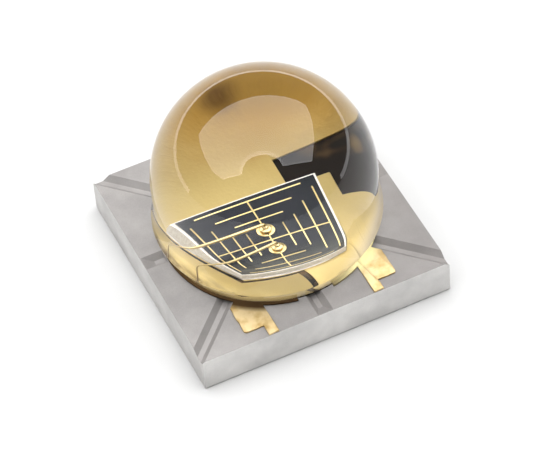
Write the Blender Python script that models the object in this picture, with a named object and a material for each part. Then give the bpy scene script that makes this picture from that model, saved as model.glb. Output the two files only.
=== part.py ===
"""Surface-mount infrared emitter: a ceramic base, a die on gold pads, and a glass dome over clear gel.

Metres, +Z up. The origin is on the dome's axis, at the underside of the solder contacts.
X runs along the edge with the two gold tabs, and those tabs lie on the -Y side.
"""
import math

import bmesh
import bpy
from mathutils import Vector

MM = 0.001

# Ceramic base
BODY_SIDE = 4.40 * MM
BODY_THICKNESS = 0.65 * MM
GROOVE_WIDTH = 0.27 * MM
GROOVE_FLOOR = 0.09 * MM
GROOVE_DEPTH = 0.09 * MM
GROOVE_HIP = 0.20 * MM          # run of the sloped end at the middle of a side
GROOVE_LIP = 0.012 * MM         # land left between that end and the side face
GROOVE_SHIFT_X = -0.02 * MM     # the star of grooves is pressed a little off the middle of the base
GROOVE_SHIFT_Y = 0.13 * MM

# Solder contacts on the underside
CONTACT_THICKNESS = 0.025 * MM
CONTACT_WIDTH = 0.62 * MM
CONTACT_LENGTH = 3.90 * MM
CONTACT_INSET = 0.15 * MM       # from the side of the base to an outer contact
CONTACT_GAP = 0.30 * MM         # from an outer contact to the thermal contact

# Filled holes that carry the current down
VIA_RADIUS = 0.09 * MM
VIA_MARGIN = 0.03 * MM          # from the inner edge of the contact to the hole
VIA_PITCH = 0.70 * MM

# Dark glaze and gold film on top of the ceramic
GLAZE_RADIUS = 1.74 * MM
GLAZE_THICKNESS = 0.010 * MM
FILM_THICKNESS = 0.035 * MM
FILM_MARGIN = 0.02 * MM         # film outside the foot of the gel
FILM_GAP = 0.09 * MM            # between the two pads of the film
DIE_PAD_MARGIN = 0.03 * MM      # pad outside the die on its two gapped sides
FRONT_GAP_X = 0.065 * MM        # middle of the gap that leaves towards the tabs
SIDE_GAP_Y = 0.60 * MM          # where the gap that leaves towards -X starts beside the die
SIDE_GAP_SLOPE = 0.50           # rise over run of its lower edge, away from the die
SIDE_GAP_SPREAD = 0.15          # how much steeper its upper edge is
NOTCH_LEFT = 0.30 * MM          # where the front gap widens round the end of a groove
NOTCH_RIGHT = 0.33 * MM
NOTCH_DEPTH = 0.20 * MM
SLOT_INSET = 0.20 * MM          # from the edge of the film to a slot that follows it and broadens at one end
SLOT_WIDTH = 0.05 * MM
SLOT_BROAD = 0.13 * MM
SLOT_START = math.radians(-67)
SLOT_STEP = math.radians(-56)
SLOT_END = math.radians(-48)

# Bare window in the die pad, behind the die and to its right
WINDOW_LEFT = 0.48 * MM
WINDOW_STEP_X = 0.81 * MM
WINDOW_RIGHT_INSET = 0.46 * MM  # from the edge of the film
WINDOW_BACK_INSET = 0.77 * MM
WINDOW_STEP_Y = 0.71 * MM
WINDOW_FRONT = 0.44 * MM

# Gold tabs that reach the edge of the base
TAB_INNER_X = 0.85 * MM
TAB_WIDTH = 0.50 * MM
TAB_TAIL_WIDTH = 0.17 * MM
TAB_END_INSET = 0.21 * MM       # from the side of the base to the broad part
TAB_ROUND = 0.05 * MM
TAB_GROOVE_MARGIN = 0.02 * MM   # ceramic left between a tab and the corner groove beside it

# Clear gel between the film and the lens; its side leans out under the flange
GEL_FOOT_RADIUS = 1.78 * MM
GEL_TOP_RADIUS = 1.87 * MM
GEL_THICKNESS = 0.26 * MM
RECESS_MARGIN = 0.09 * MM       # from the outer foot of a wire to the rim of the recess under the lens
RECESS_TAPER = 0.16 * MM        # how much narrower the recess is at its top
RECESS_DEPTH = 0.24 * MM        # the gel fills it too

# Glass lens: a dome on a flange with a rounded rim
LENS_RADIUS = 1.853 * MM
LENS_CENTRE_RISE = 0.813 * MM   # centre of the sphere over the underside of the lens
FLANGE_RADIUS = 1.925 * MM
FLANGE_THICKNESS = 0.11 * MM
FLANGE_ROUND = 0.05 * MM

# Emitter die
DIE_SIDE = 1.29 * MM
DIE_THICKNESS = 0.13 * MM
DIE_X = 0.02 * MM
DIE_Y = 0.005 * MM
DIE_TURN = math.radians(-2.3)   # it sits slightly askew, as placed
DIE_MESA_INSET = 0.018 * MM
DIE_MESA_HEIGHT = 0.008 * MM
SOLDER_THICKNESS = 0.015 * MM
SOLDER_FILLET = 0.012 * MM

# Top contact of the die: nested fingers, two crossing bars and two round bond pads
FINGER_WIDTH = 0.014 * MM
FINGER_THICKNESS = 0.006 * MM
FINGER_COUNT = 4
FINGER_FIRST = 0.185 * MM
FINGER_PITCH = 0.130 * MM
FINGER_SHORT = 0.075 * MM       # how much shorter than its square each half finger is
BOND_PAD_OFFSET = 0.150 * MM
BOND_PAD_RADIUS = 0.088 * MM

# Gold bond wires: a pressed ball at each end, a run that rises outward, and a steep drop to the foot
WIRE_RADIUS = 0.016 * MM
BALL_RADIUS = 0.060 * MM
BALL_HEIGHT = 0.036 * MM
BALL_PROFILE = ((0.0, 0.80), (0.2, 0.97), (0.45, 1.0), (0.75, 0.80), (0.95, 0.45))  # height, width as shares
FOOT_RADIUS = 0.040 * MM
FOOT_HEIGHT = 0.022 * MM
LOOP_HEIGHT = 0.042 * MM        # of the wire's middle over the ball on the die
CREST_HEIGHT = 0.42 * MM        # of the wire's middle over the film, before it drops
FOOT_BEND = 0.07 * MM           # radius of the bend over the foot
BEND_STEPS = 6
BACK_FOOT_X = -1.69 * MM
BACK_FOOT_Y = -0.05 * MM
FRONT_FOOT_X = -1.475 * MM
FRONT_FOOT_Y = -0.635 * MM

# Running clearances between bonded and seated pieces
SEATING = 0.002 * MM            # wherever one piece is filled or moulded round another

# Facets
ROUND_STEPS = 96
DOME_STEPS = 22
VIA_STEPS = 24
SLOT_STEPS = 6
CORNER_STEPS = 6
WIRE_SIDES = 12

# Levels, from the contacts up
Z_BODY = CONTACT_THICKNESS
Z_TOP = Z_BODY + BODY_THICKNESS
Z_GLAZE = Z_TOP + GLAZE_THICKNESS
Z_FILM = Z_TOP + FILM_THICKNESS
Z_SOLDER = Z_FILM + SOLDER_THICKNESS
Z_DIE = Z_SOLDER + DIE_THICKNESS
Z_FINGER = Z_DIE + FINGER_THICKNESS
Z_GEL = Z_FILM + GEL_THICKNESS
Z_LENS = Z_GEL + SEATING
Z_CENTRE = Z_LENS + LENS_CENTRE_RISE
Z_FLANGE = Z_LENS + FLANGE_THICKNESS

FILM_RADIUS = GEL_FOOT_RADIUS + FILM_MARGIN
SLOT_RADIUS = FILM_RADIUS - SLOT_INSET
WINDOW_RIGHT = FILM_RADIUS - WINDOW_RIGHT_INSET
WINDOW_BACK = FILM_RADIUS - WINDOW_BACK_INSET
RECESS_RADIUS = RECESS_MARGIN - BACK_FOOT_X
RECESS_TOP_RADIUS = RECESS_RADIUS - RECESS_TAPER
HALF_BODY = BODY_SIDE / 2
HALF_DIE = DIE_SIDE / 2
CUT = 0.2 * MM                  # how far a cutter runs past what it cuts


def material(name, colour, metallic, roughness, transmission=0.0, ior=1.5):
    """A Principled material from a linear colour."""
    made = bpy.data.materials.new(name)
    made.use_nodes = True
    shader = made.node_tree.nodes["Principled BSDF"]
    shader.inputs["Base Color"].default_value = (*colour, 1.0)
    shader.inputs["Metallic"].default_value = metallic
    shader.inputs["Roughness"].default_value = roughness
    shader.inputs["Transmission Weight"].default_value = transmission
    shader.inputs["IOR"].default_value = ior
    made.diffuse_color = (*colour, 1.0)
    return made


def place(name, mesh, surface, root, smooth=False):
    """Puts a finished mesh into the scene under its node's name."""
    if smooth:
        mesh.shade_smooth()
        mesh.set_sharp_from_angle(angle=math.radians(30))
    made = bpy.data.objects.new(name, mesh)
    bpy.context.collection.objects.link(made)
    made.parent = root
    if surface is None:
        made.hide_render = True
        made.display_type = "WIRE"
    else:
        mesh.materials.append(surface)
    return made


def to_mesh(name, bm):
    """Closes a bmesh into a mesh with its faces pointing out."""
    bmesh.ops.recalc_face_normals(bm, faces=bm.faces)
    mesh = bpy.data.meshes.new(name)
    bm.to_mesh(mesh)
    bm.free()
    return mesh


def prism(name, outline, low, high):
    """A flat outline raised between two levels."""
    bm = bmesh.new()
    floor = bm.faces.new([bm.verts.new((x, y, low)) for x, y in outline])
    raised = bmesh.ops.extrude_face_region(bm, geom=[floor])["geom"]
    bmesh.ops.translate(bm, verts=[v for v in raised if isinstance(v, bmesh.types.BMVert)], vec=(0, 0, high - low))
    return to_mesh(name, bm)


def rectangle(x0, x1, y0, y1):
    return [(x0, y0), (x1, y0), (x1, y1), (x0, y1)]


def circle(radius, steps, x=0.0, y=0.0):
    """Points round a circle."""
    turns = [2 * math.pi * i / steps for i in range(steps)]
    return [(x + radius * math.cos(a), y + radius * math.sin(a)) for a in turns]


def arc(x, y, radius, start, end, steps):
    """Points along an arc, both ends included."""
    turns = [start + (end - start) * i / steps for i in range(steps + 1)]
    return [(x + radius * math.cos(a), y + radius * math.sin(a)) for a in turns]


def turned(name, profile, steps):
    """Turns a profile that starts and ends on the axis into a closed solid."""
    bm = bmesh.new()
    rings = []
    for radius, height in profile:
        if radius == 0:
            rings.append([bm.verts.new((0, 0, height))])
        else:
            rings.append([bm.verts.new((x, y, height)) for x, y in circle(radius, steps)])
    for one, two in zip(rings, rings[1:]):
        for i in range(steps):
            j = (i + 1) % steps
            corners = [one[i % len(one)], one[j % len(one)], two[j % len(two)], two[i % len(two)]]
            bm.faces.new(list(dict.fromkeys(corners)))
    return to_mesh(name, bm)


def on_die(x, y):
    """Where a point given from the middle of the die lies."""
    cosine = math.cos(DIE_TURN)
    sine = math.sin(DIE_TURN)
    return DIE_X + x * cosine - y * sine, DIE_Y + x * sine + y * cosine


def die_block(name, levels):
    """A stack of squares on the die's centre, each given as (half side, height), closed at both ends."""
    bm = bmesh.new()
    rings = []
    for half, height in levels:
        square = rectangle(-half, half, -half, half)
        rings.append([bm.verts.new((*on_die(x, y), height)) for x, y in square])
    for one, two in zip(rings, rings[1:]):
        for i in range(4):
            j = (i + 1) % 4
            bm.faces.new([one[i], one[j], two[j], two[i]])
    bm.faces.new(rings[0])
    bm.faces.new(rings[-1])
    return to_mesh(name, bm)


def boolean(target, cutter, operation):
    """One exact Boolean step on an object."""
    step = target.modifiers.new(operation.title() + " " + cutter.name, "BOOLEAN")
    step.operation = operation
    step.solver = "EXACT"
    step.object = cutter


def via_places():
    """Names and centres of the four filled holes."""
    across = HALF_BODY - CONTACT_INSET - CONTACT_WIDTH + VIA_MARGIN + VIA_RADIUS
    for side, sign in (("anode", -1), ("cathode", 1)):
        for end, way in (("front", -1), ("back", 1)):
            yield f"{side}_via_{end}", sign * across, way * VIA_PITCH / 2


def groove_cutter(name, turn, root):
    """A trough from the film out to the edge; at the middle of a side its end slopes up to the top face."""
    along = Vector((math.cos(turn), math.sin(turn), 0))
    across = Vector((-along.y, along.x, 0))
    middle = Vector((GROOVE_SHIFT_X, GROOVE_SHIFT_Y, 0))
    to_side = round(math.degrees(turn)) % 90 == 0
    start = FILM_RADIUS - SEATING
    if to_side:
        end = HALF_BODY - GROOVE_LIP - middle.dot(along)
        floor_end = end - GROOVE_HIP
    else:
        end = floor_end = math.sqrt(2) * BODY_SIDE
    bm = bmesh.new()
    sections = (
        (start, GROOVE_WIDTH / 2, Z_TOP + CUT),
        (start, GROOVE_WIDTH / 2, Z_TOP),
        (start, GROOVE_FLOOR / 2, Z_TOP - GROOVE_DEPTH),
        (floor_end, GROOVE_FLOOR / 2, Z_TOP - GROOVE_DEPTH),
        (end, GROOVE_WIDTH / 2, Z_TOP),
        (end, GROOVE_WIDTH / 2, Z_TOP + CUT),
    )
    sides = []
    for sign in (-1, 1):
        line = []
        for distance, half, height in sections:
            spot = middle + along * distance + across * (sign * half)
            line.append(bm.verts.new((spot.x, spot.y, height)))
        sides.append(line)
    left, right = sides
    for i in range(len(sections)):
        j = (i + 1) % len(sections)
        bm.faces.new([left[i], left[j], right[j], right[i]])
    for line in sides:
        high_in, low_in, floor_in, floor_out, low_out, high_out = line
        bm.faces.new([high_in, low_in, low_out, high_out])
        bm.faces.new([low_in, floor_in, floor_out, low_out])
    return place(name, to_mesh(name, bm), None, root)


def ceramic_base(surface, root):
    """The square base with its star of eight shallow grooves and four holes."""
    outline = rectangle(-HALF_BODY, HALF_BODY, -HALF_BODY, HALF_BODY)
    base = place("ceramic_base", prism("ceramic_base", outline, Z_BODY, Z_TOP), surface, root)
    for i in range(8):
        boolean(base, groove_cutter(f"groove_cutter_{i}", math.radians(45 * i), root), "DIFFERENCE")
    for name, x, y in via_places():
        hole = circle(VIA_RADIUS + SEATING, VIA_STEPS, x, y)
        cutter = place(name + "_hole", prism(name + "_hole", hole, Z_BODY - CUT, Z_TOP + CUT), None, root)
        boolean(base, cutter, "DIFFERENCE")


def contacts(surface, root):
    """Two outer solder contacts and the thermal contact between them."""
    half_length = CONTACT_LENGTH / 2
    outer = HALF_BODY - CONTACT_INSET
    inner = outer - CONTACT_WIDTH
    for name, x0, x1 in (
        ("anode_contact", -outer, -inner),
        ("cathode_contact", inner, outer),
        ("thermal_contact", -inner + CONTACT_GAP, inner - CONTACT_GAP),
    ):
        place(name, prism(name, rectangle(x0, x1, -half_length, half_length), 0, Z_BODY), surface, root)


def vias(surface, root):
    for name, x, y in via_places():
        place(name, prism(name, circle(VIA_RADIUS, VIA_STEPS, x, y), Z_BODY, Z_TOP), surface, root, True)


def bond_region(grow):
    """Outline of the part of the film that the wires land on, grown by a gap on its inner sides."""
    left = DIE_X - HALF_DIE - DIE_PAD_MARGIN - FILM_GAP + grow
    front = DIE_Y - HALF_DIE - DIE_PAD_MARGIN - FILM_GAP + grow
    gap_side = FRONT_GAP_X - FILM_GAP / 2 + grow
    far = BODY_SIDE
    slope = SIDE_GAP_SLOPE + SIDE_GAP_SPREAD * grow / FILM_GAP
    back = SIDE_GAP_Y + grow
    return [
        (-far, back + slope * (left + far)),
        (left, back),
        (left, front),
        (gap_side, front),
        (gap_side, -far),
        (-far, -far),
    ]


def film_notch(root):
    """Where both pads end short of the groove at the front."""
    low = -FILM_RADIUS
    outline = rectangle(-NOTCH_LEFT, NOTCH_RIGHT, low, low + NOTCH_DEPTH)
    return place("film_notch", prism("film_notch", outline, Z_TOP - CUT, Z_FILM + CUT), None, root)


def tab(name, sign, root):
    """A tab with a narrow tail on its inner side, cut back along the corner groove that it lies beside."""
    inner = TAB_INNER_X
    outer = inner + TAB_WIDTH
    tail = inner + TAB_TAIL_WIDTH
    end = -HALF_BODY + TAB_END_INSET
    beside = GROOVE_SHIFT_Y + sign * GROOVE_SHIFT_X - GROOVE_WIDTH / math.sqrt(2) - TAB_GROOVE_MARGIN
    outline = [(inner, beside - inner), (outer, beside - outer)]
    outline += arc(outer - TAB_ROUND, end + TAB_ROUND, TAB_ROUND, 0, -math.pi / 2, CORNER_STEPS)
    outline += [(tail, end), (tail, -HALF_BODY), (inner, -HALF_BODY)]
    outline = [(sign * x, y) for x, y in outline]
    return place(name, prism(name, outline, Z_TOP, Z_FILM), None, root)


def gold_film(surface, root):
    """The pad that carries the die and the pad that the wires land on, each with its tab."""
    glaze = prism("glaze_cutter", circle(GLAZE_RADIUS + SEATING, ROUND_STEPS), Z_TOP - CUT, Z_GLAZE + SEATING)
    glaze_cutter = place("glaze_cutter", glaze, None, root)
    disc = circle(FILM_RADIUS, ROUND_STEPS)
    notch = film_notch(root)

    bond = place("bond_pad", prism("bond_pad", disc, Z_TOP, Z_FILM), surface, root)
    region = prism("bond_region", bond_region(0), Z_TOP - CUT, Z_FILM + CUT)
    boolean(bond, place("bond_region", region, None, root), "INTERSECT")
    boolean(bond, tab("bond_tab", -1, root), "UNION")
    boolean(bond, notch, "DIFFERENCE")
    boolean(bond, glaze_cutter, "DIFFERENCE")

    pad = place("die_pad", prism("die_pad", disc, Z_TOP, Z_FILM), surface, root)
    grown = prism("die_pad_gap", bond_region(FILM_GAP), Z_TOP - CUT, Z_FILM + CUT)
    boolean(pad, place("die_pad_gap", grown, None, root), "DIFFERENCE")
    window = [
        (WINDOW_LEFT, WINDOW_STEP_Y),
        (WINDOW_STEP_X, WINDOW_STEP_Y),
        (WINDOW_STEP_X, WINDOW_FRONT),
        (WINDOW_RIGHT, WINDOW_FRONT),
        (WINDOW_RIGHT, WINDOW_BACK),
        (WINDOW_LEFT, WINDOW_BACK),
    ]
    bare = prism("window_cutter", window, Z_TOP - CUT, Z_FILM + CUT)
    boolean(pad, place("window_cutter", bare, None, root), "DIFFERENCE")
    slot = arc(0, 0, SLOT_RADIUS, SLOT_START, SLOT_END, SLOT_STEPS)
    slot += arc(0, 0, SLOT_RADIUS + SLOT_BROAD, SLOT_END, SLOT_STEP, SLOT_STEPS // 2)
    slot += arc(0, 0, SLOT_RADIUS + SLOT_WIDTH, SLOT_STEP, SLOT_START, SLOT_STEPS // 2)
    slit = prism("slot_cutter", slot, Z_TOP - CUT, Z_FILM + CUT)
    boolean(pad, place("slot_cutter", slit, None, root), "DIFFERENCE")
    boolean(pad, tab("die_tab", 1, root), "UNION")
    boolean(pad, notch, "DIFFERENCE")
    boolean(pad, glaze_cutter, "DIFFERENCE")


def glaze_layer(surface, root):
    disc = circle(GLAZE_RADIUS, ROUND_STEPS)
    place("glaze_layer", prism("glaze_layer", disc, Z_TOP, Z_GLAZE), surface, root, True)


def recess(level):
    """Profile of the recess under the lens, from its rim in to the axis."""
    top = level + RECESS_DEPTH
    return [(RECESS_RADIUS, level), (RECESS_TOP_RADIUS, top), (0.0, top)]


def dome_lens(surface, root):
    """A glass dome that runs into a flange with a rounded shoulder; its underside has a shallow recess."""
    start = math.asin((FLANGE_THICKNESS - LENS_CENTRE_RISE) / LENS_RADIUS)
    profile = [(0.0, Z_CENTRE + LENS_RADIUS)]
    for i in range(1, DOME_STEPS + 1):
        turn = math.pi / 2 + (start - math.pi / 2) * i / DOME_STEPS
        profile.append((LENS_RADIUS * math.cos(turn), Z_CENTRE + LENS_RADIUS * math.sin(turn)))
    middle = FLANGE_RADIUS - FLANGE_ROUND
    profile += arc(middle, Z_FLANGE - FLANGE_ROUND, FLANGE_ROUND, math.pi / 2, 0, CORNER_STEPS)
    profile += [(FLANGE_RADIUS, Z_LENS)] + recess(Z_LENS)
    place("dome_lens", turned("dome_lens", profile, ROUND_STEPS), surface, root, True)


def die(solder_surface, die_surface, root):
    """The die on its solder, with a low mesa inside a narrow sawn border."""
    solder = die_block("die_solder", [(HALF_DIE + SOLDER_FILLET, Z_FILM), (HALF_DIE, Z_SOLDER)])
    place("die_solder", solder, solder_surface, root)
    mesa = HALF_DIE - DIE_MESA_INSET
    border = Z_DIE - DIE_MESA_HEIGHT
    levels = [(HALF_DIE, Z_SOLDER), (HALF_DIE, border), (mesa, border), (mesa, Z_DIE)]
    place("emitter_die", die_block("emitter_die", levels), die_surface, root)


def finger_boxes():
    """Rectangles of the top contact about the middle of the die, with the bar left open at its two bond pads."""
    half = FINGER_WIDTH / 2
    distances = [FINGER_FIRST + FINGER_PITCH * k for k in range(FINGER_COUNT)]
    last = distances[-1]
    chord = math.sqrt(BOND_PAD_RADIUS ** 2 - half ** 2)
    near = BOND_PAD_OFFSET - chord
    far = BOND_PAD_OFFSET + chord
    yield rectangle(-last, last, -half, half)
    for low, high in ((-last, -far), (-near, near), (far, last)):
        yield rectangle(-half, half, low, high)
    for k, distance in enumerate(distances):
        reach = distance if k == 0 else distance - FINGER_SHORT
        for sign in (-1, 1):
            yield rectangle(sign * distance - half, sign * distance + half, -reach, reach)
            if k > 0:
                yield rectangle(-reach, reach, sign * distance - half, sign * distance + half)


def lattice(boxes):
    """Splits rectangles into cells, so that those that cross share whole edges."""
    xs = sorted({round(x, 9) for box in boxes for x, y in box})
    ys = sorted({round(y, 9) for box in boxes for x, y in box})
    spans = [[round(v, 9) for v in (box[0][0], box[2][0], box[0][1], box[2][1])] for box in boxes]
    for x0, x1 in zip(xs, xs[1:]):
        for y0, y1 in zip(ys, ys[1:]):
            if any(a <= x0 and x1 <= b and c <= y0 and y1 <= d for a, b, c, d in spans):
                yield rectangle(x0, x1, y0, y1)


def pad_outline(y):
    """A round bond pad with a short straight edge where each end of the bar meets it."""
    turn = math.acos(FINGER_WIDTH / 2 / BOND_PAD_RADIUS)
    right = arc(0, y, BOND_PAD_RADIUS, -turn, turn, VIA_STEPS // 2)
    left = arc(0, y, BOND_PAD_RADIUS, math.pi - turn, math.pi + turn, VIA_STEPS // 2)
    return right + left


def top_contact(surface, root):
    """Fingers, bars and bond pads, plated in one layer."""
    outlines = list(lattice(list(finger_boxes())))
    outlines += [pad_outline(sign * BOND_PAD_OFFSET) for sign in (-1, 1)]
    bm = bmesh.new()
    corners = {}
    for outline in outlines:
        face = []
        for x, y in outline:
            spot = (round(x, 8), round(y, 8))
            if spot not in corners:
                corners[spot] = bm.verts.new((*on_die(x, y), Z_DIE))
            face.append(corners[spot])
        bm.faces.new(face)
    bmesh.ops.dissolve_limit(bm, angle_limit=math.radians(1), verts=bm.verts, edges=bm.edges)
    raised = bmesh.ops.extrude_face_region(bm, geom=bm.faces[:])["geom"]
    moved = [v for v in raised if isinstance(v, bmesh.types.BMVert)]
    bmesh.ops.translate(bm, verts=moved, vec=(0, 0, FINGER_THICKNESS))
    place("top_contact", to_mesh("top_contact", bm), surface, root)


def wire_stations(pad_y, foot, grow):
    """Centre, direction and radius of each ring of a wire, from its ball on the die to its foot on the film."""
    up = Vector((0, 0, 1))
    ball = Vector((*on_die(0, pad_y), Z_FINGER))
    foot = Vector((*foot, Z_FILM))
    toward = Vector((foot.x - ball.x, foot.y - ball.y, 0)).normalized()
    stations = [(ball + up * (BALL_HEIGHT * h), up, BALL_RADIUS * w + grow) for h, w in BALL_PROFILE]
    thin = WIRE_RADIUS + grow
    turns = [math.pi / 2 * i / BEND_STEPS for i in range(BEND_STEPS + 1)]
    rise = ball + up * BALL_HEIGHT + toward * LOOP_HEIGHT
    for a in turns:
        spot = rise + (up * math.sin(a) - toward * math.cos(a)) * LOOP_HEIGHT
        stations.append((spot, up * math.cos(a) + toward * math.sin(a), thin))
    fall = foot + up * (CREST_HEIGHT - FOOT_BEND) - toward * FOOT_BEND
    for a in turns:
        spot = fall + (up * math.cos(a) + toward * math.sin(a)) * FOOT_BEND
        stations.append((spot, toward * math.cos(a) - up * math.sin(a), thin))
    foot_rings = [(foot + up * (FOOT_HEIGHT * h), -up, FOOT_RADIUS * w + grow) for h, w in BALL_PROFILE]
    return stations + foot_rings[::-1]


def wire_mesh(name, stations):
    """Lofts round rings along the wire's centres."""
    bm = bmesh.new()
    rings = []
    side = (stations[-1][0] - stations[0][0]).cross(Vector((0, 0, 1))).normalized()
    around = [2 * math.pi * k / WIRE_SIDES for k in range(WIRE_SIDES)]
    for spot, ahead, radius in stations:
        up = side.cross(ahead)
        rings.append([bm.verts.new(spot + (side * math.cos(a) + up * math.sin(a)) * radius) for a in around])
    for one, two in zip(rings, rings[1:]):
        for k in range(WIRE_SIDES):
            n = (k + 1) % WIRE_SIDES
            bm.faces.new([one[k], one[n], two[n], two[k]])
    bm.faces.new(rings[0])
    bm.faces.new(rings[-1])
    return to_mesh(name, bm)


def wire_places():
    yield "bond_wire_back", BOND_PAD_OFFSET, (BACK_FOOT_X, BACK_FOOT_Y)
    yield "bond_wire_front", -BOND_PAD_OFFSET, (FRONT_FOOT_X, FRONT_FOOT_Y)


def bond_wires(surface, root):
    for name, pad_y, foot in wire_places():
        place(name, wire_mesh(name, wire_stations(pad_y, foot, 0)), surface, root, True)


def encapsulant(surface, root):
    """Clear gel poured round the die and the wires, up into the recess of the lens."""
    low = Z_FILM + SEATING
    profile = recess(Z_GEL)[::-1] + [(GEL_TOP_RADIUS, Z_GEL), (GEL_FOOT_RADIUS, low), (0.0, low)]
    gel = place("encapsulant", turned("encapsulant", profile, ROUND_STEPS), surface, root, True)
    half = HALF_DIE + SOLDER_FILLET + SEATING
    block = die_block("die_cavity", [(half, Z_FILM - CUT), (half, Z_FINGER + SEATING)])
    boolean(gel, place("die_cavity", block, None, root), "DIFFERENCE")
    for name, pad_y, foot in wire_places():
        stations = wire_stations(pad_y, foot, SEATING)
        cavity = place(name + "_cavity", wire_mesh(name + "_cavity", stations), None, root)
        boolean(gel, cavity, "DIFFERENCE")


def main():
    for old in list(bpy.data.objects):
        bpy.data.objects.remove(old, do_unlink=True)
    root = bpy.data.objects.new("infrared_emitter", None)
    bpy.context.collection.objects.link(root)

    ceramic = material("aluminium nitride ceramic", (0.32, 0.30, 0.29), 0.0, 0.6)
    solderable = material("gold flash on nickel", (0.72, 0.55, 0.26), 1.0, 0.35)
    copper = material("copper via fill", (0.80, 0.42, 0.27), 1.0, 0.4)
    glaze = material("dark glaze", (0.045, 0.032, 0.028), 0.0, 0.35)
    gold = material("plated gold", (0.83, 0.62, 0.28), 1.0, 0.25)
    solder = material("die solder", (0.62, 0.60, 0.56), 1.0, 0.4)
    chip = material("emitter semiconductor", (0.05, 0.06, 0.09), 0.3, 0.25)
    wire = material("gold wire", (0.90, 0.70, 0.35), 1.0, 0.2)
    gel = material("clear silicone gel", (0.97, 0.96, 0.93), 0.0, 0.05, 1.0, 1.43)
    glass = material("clear lens glass", (0.97, 0.97, 0.95), 0.0, 0.02, 1.0, 1.47)

    ceramic_base(ceramic, root)
    contacts(solderable, root)
    vias(copper, root)
    glaze_layer(glaze, root)
    gold_film(gold, root)
    die(solder, chip, root)
    top_contact(gold, root)
    bond_wires(wire, root)
    encapsulant(gel, root)
    dome_lens(glass, root)


main()
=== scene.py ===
"""Dresses the infrared emitter: ceramic base, gold film, die, wires, clear dome and gel, and the studio."""
import math

import bmesh
import bpy
from mathutils import Matrix, Vector, noise as perlin


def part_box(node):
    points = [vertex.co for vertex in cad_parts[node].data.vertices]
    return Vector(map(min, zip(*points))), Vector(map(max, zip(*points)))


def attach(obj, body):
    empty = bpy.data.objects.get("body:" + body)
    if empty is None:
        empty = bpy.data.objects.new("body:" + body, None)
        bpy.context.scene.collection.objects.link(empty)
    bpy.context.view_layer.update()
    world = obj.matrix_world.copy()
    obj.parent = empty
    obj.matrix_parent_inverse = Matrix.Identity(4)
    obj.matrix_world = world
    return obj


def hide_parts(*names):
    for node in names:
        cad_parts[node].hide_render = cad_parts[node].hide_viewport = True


bl_info = {
    "name": "Infrared emitter",
    "version": (1, 0, 0),
    "blender": (4, 5, 0),
    "location": "View3D > Sidebar > Emitter",
    "description": "Builds the looks of a ceramic-based infrared emitter with a clear dome",
    "category": "Object",
}

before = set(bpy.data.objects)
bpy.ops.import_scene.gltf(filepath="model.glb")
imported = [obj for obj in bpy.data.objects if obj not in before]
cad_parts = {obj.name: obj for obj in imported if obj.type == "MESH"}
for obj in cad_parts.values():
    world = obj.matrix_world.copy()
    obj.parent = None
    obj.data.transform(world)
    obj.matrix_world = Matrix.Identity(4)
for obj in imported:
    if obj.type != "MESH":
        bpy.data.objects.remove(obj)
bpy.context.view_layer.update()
MM = 0.001
BODY = "root"

BASE_LOW, BASE_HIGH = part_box("ceramic_base")
FILM_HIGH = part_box("bond_pad")[1]
LENS_LOW, LENS_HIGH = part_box("dome_lens")
DIE_LOW, DIE_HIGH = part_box("emitter_die")
CONTACT_LOW, CONTACT_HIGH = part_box("top_contact")

# How finely round forms are drawn
TURN_STEPS = 256
DOME_STEPS = 96
FOOT_STEPS = 40
ROUND_STEPS = 5
BEND_STEPS = 8


# What a user would change

def size(name, description, default):
    """A length in metres."""
    return bpy.props.FloatProperty(name=name, description=description, default=default, min=0.0,
                                   unit="LENGTH", subtype="DISTANCE", precision=6)


def offset(name, description, default):
    """A place along an axis, in metres."""
    return bpy.props.FloatProperty(name=name, description=description, default=default, unit="LENGTH",
                                   subtype="DISTANCE", precision=6)


def angle(name, description, default):
    """An angle, given in degrees."""
    return bpy.props.FloatProperty(name=name, description=description, default=math.radians(default),
                                   unit="ROTATION", subtype="ANGLE")


def amount(name, description, default, most=10.0):
    """A plain number."""
    return bpy.props.FloatProperty(name=name, description=description, default=default, min=0.0, max=most)


def linear(hexed):
    """A linear colour from an sRGB hex value."""
    values = [int(hexed[i:i + 2], 16) / 255 for i in (0, 2, 4)]
    return tuple(v / 12.92 if v <= 0.04045 else ((v + 0.055) / 1.055) ** 2.4 for v in values) + (1.0,)


def colour(name, description, hexed):
    """A colour, given in sRGB."""
    return bpy.props.FloatVectorProperty(name=name, description=description, default=linear(hexed), size=4,
                                         min=0.0, max=1.0, subtype="COLOR")


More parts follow.
